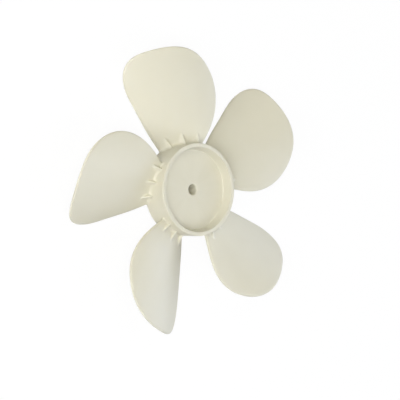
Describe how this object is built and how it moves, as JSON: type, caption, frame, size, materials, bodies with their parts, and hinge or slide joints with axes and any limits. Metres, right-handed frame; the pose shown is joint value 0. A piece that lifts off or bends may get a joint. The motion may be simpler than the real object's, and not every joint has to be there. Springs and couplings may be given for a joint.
{
  "type": "ventilation fan blade",
  "caption": "Ventilation fan blade moulded in one piece: a cup-shaped hub with a shaft bore, carrying broad twisted and hollowed blades with gusseted roots.",
  "frame": {"origin": "on the shaft's axis at the rear mouth of the bore, in the plane of the boss's end and the hub's back rim", "axes": "+Z along the shaft's axis, out of the hub's open front cup; +Y along the middle of one blade"},
  "size_m": [0.1706, 0.1708, 0.0205],
  "materials": {
    "cream_plastic": "satin moulded plastic in cream"
  },
  "bodies": {
    "root": {"fan_blade": "cream_plastic"}
  },
  "joints": []
}
